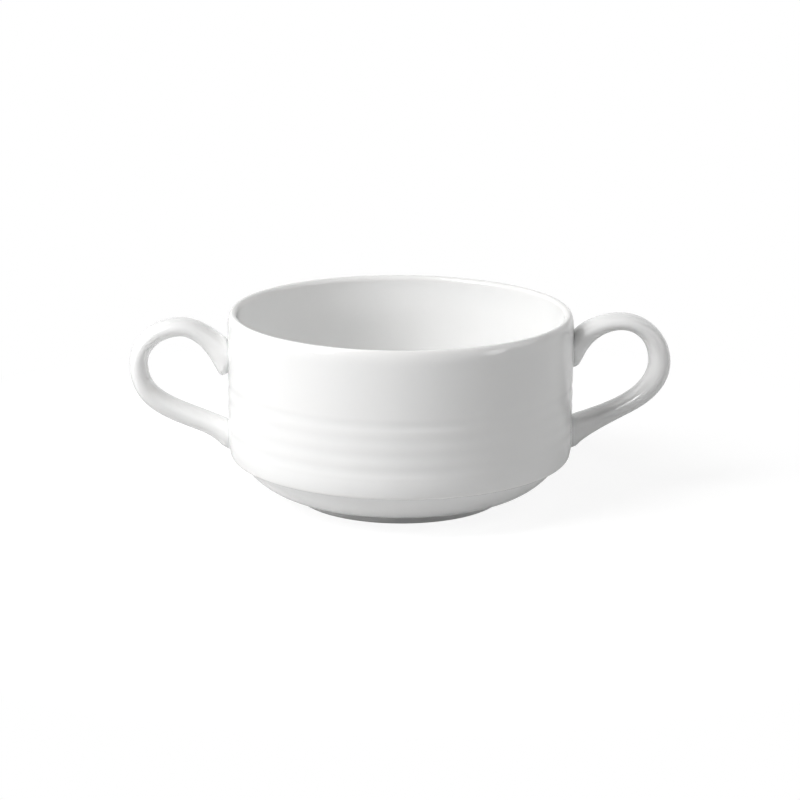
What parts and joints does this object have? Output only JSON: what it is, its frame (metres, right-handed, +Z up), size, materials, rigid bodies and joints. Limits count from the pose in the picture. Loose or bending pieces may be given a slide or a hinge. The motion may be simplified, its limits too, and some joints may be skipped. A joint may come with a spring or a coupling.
{
  "type": "soup cup",
  "caption": "Stackable porcelain soup cup: upright round wall with soft rings, rounded base on a foot ring, stacking ledge, and a loop handle on each side for lifting and drinking.",
  "frame": {"origin": "on the bowl's axis, at the plane that the foot ring stands on", "axes": "+Z up along the bowl's axis, +X towards the right handle"},
  "size_m": [0.1648, 0.105, 0.0578],
  "materials": {
    "glazed_body": "clear gloss glaze over white porcelain; the bottom face of the foot ring is bare and matt",
    "glazed_handle": "clear gloss glaze over white porcelain",
    "luting_slip": "fired slip under the same glaze"
  },
  "bodies": {
    "root": {"bowl": "glazed_body", "handle_left": "glazed_handle", "handle_right": "glazed_handle", "luting_slip_left_upper": "luting_slip", "luting_slip_left_lower": "luting_slip", "luting_slip_right_upper": "luting_slip", "luting_slip_right_lower": "luting_slip"}
  },
  "joints": []
}
